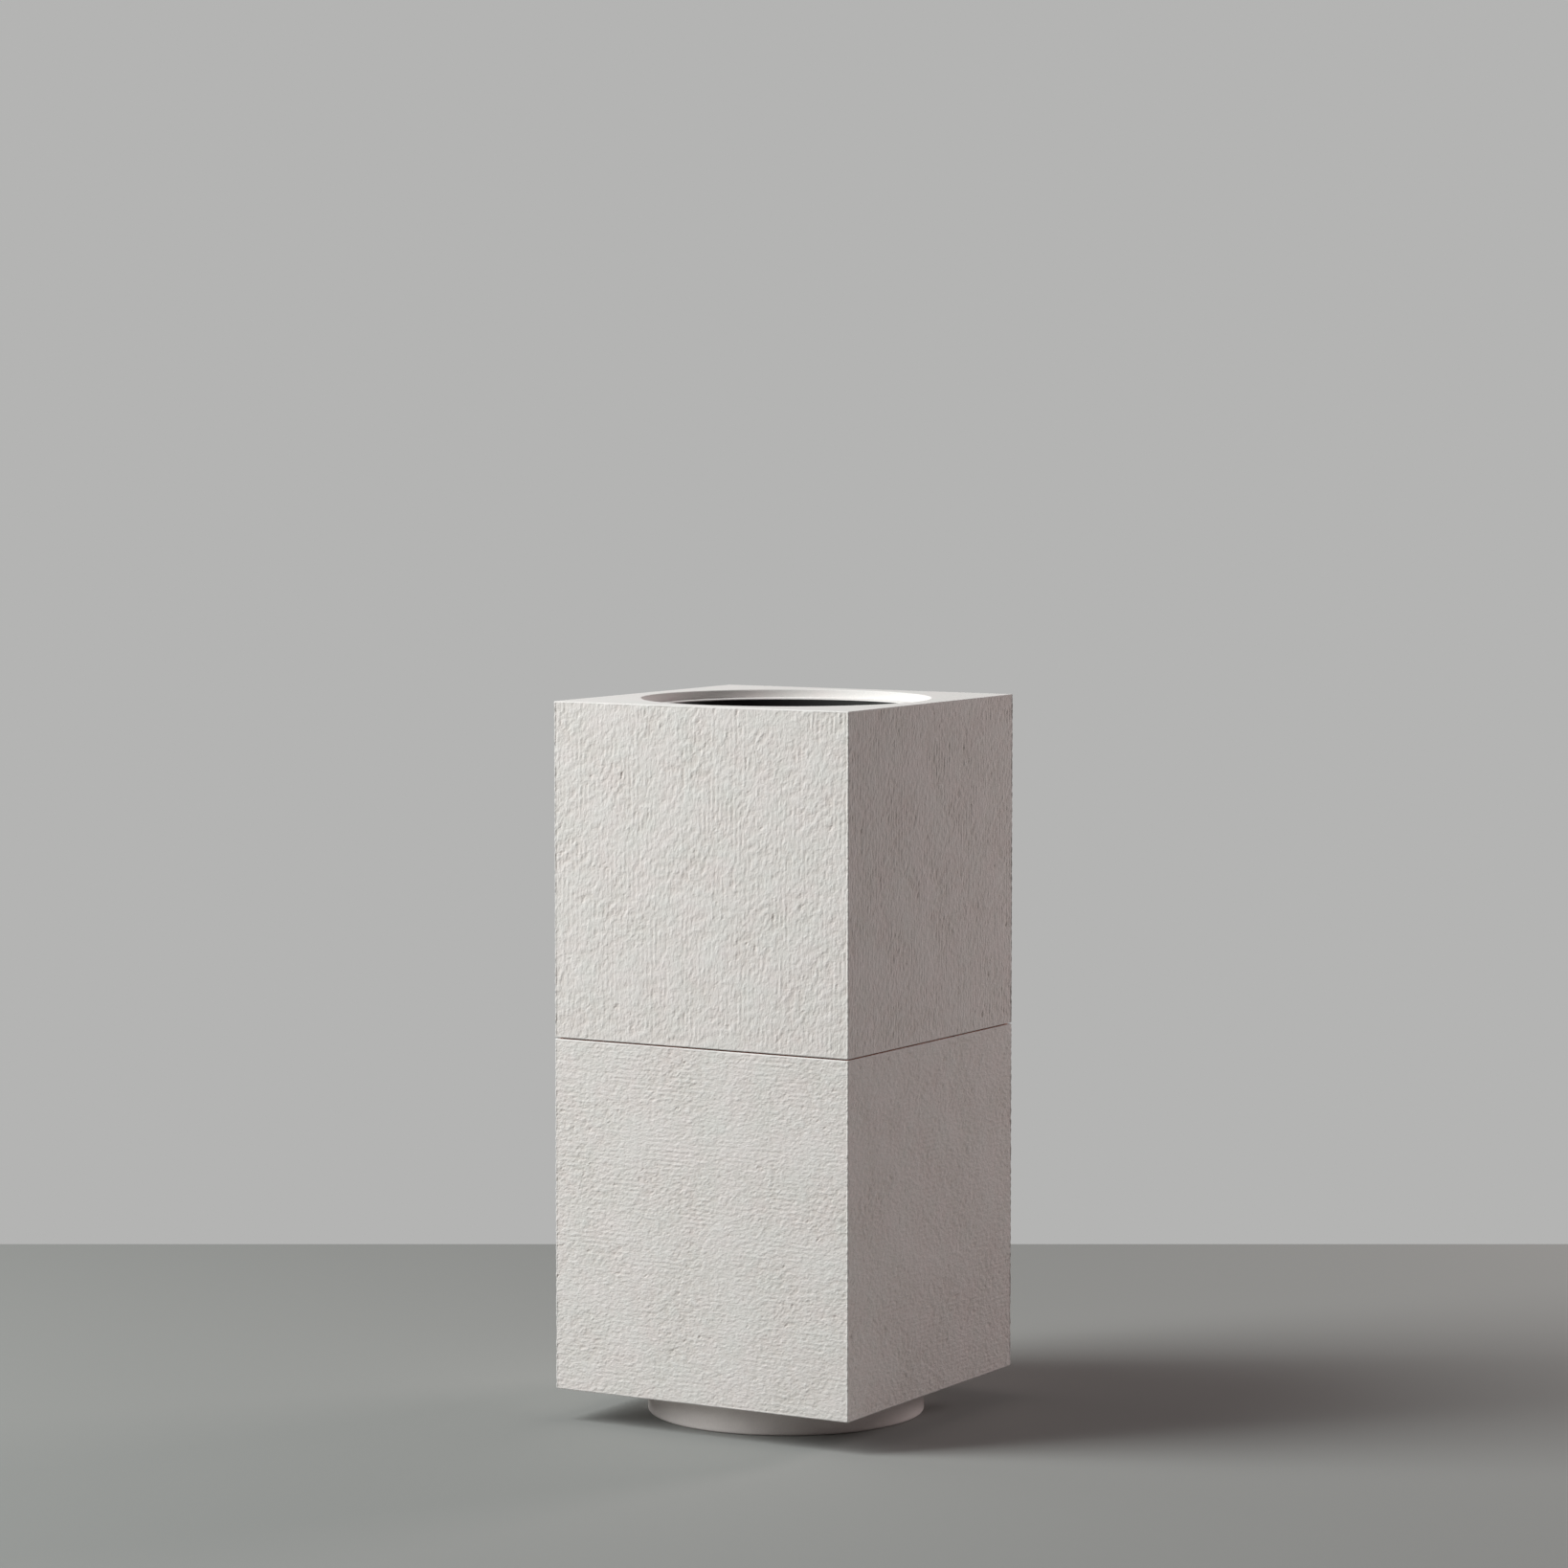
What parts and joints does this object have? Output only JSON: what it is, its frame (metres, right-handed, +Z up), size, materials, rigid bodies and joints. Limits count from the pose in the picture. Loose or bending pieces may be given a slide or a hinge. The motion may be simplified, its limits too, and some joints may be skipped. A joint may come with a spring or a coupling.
{
  "type": "square column block planter",
  "caption": "Square column of stacked tooled stone blocks on a round set-back foot, bored from above as a planter: round recess, ledge and deep well.",
  "frame": {"origin": "centre of the round foot's underside, on the floor", "axes": "+Z up along the axis of the well, +X and +Y square to the block faces"},
  "size_m": [0.4, 0.4, 0.8572],
  "materials": {
    "smooth_stone": "matte",
    "level_tooled_stone": "matte",
    "upright_tooled_stone": "matte"
  },
  "bodies": {
    "root": {"round_foot": "smooth_stone", "lower_block": "level_tooled_stone", "upper_block": "upright_tooled_stone"}
  },
  "joints": []
}
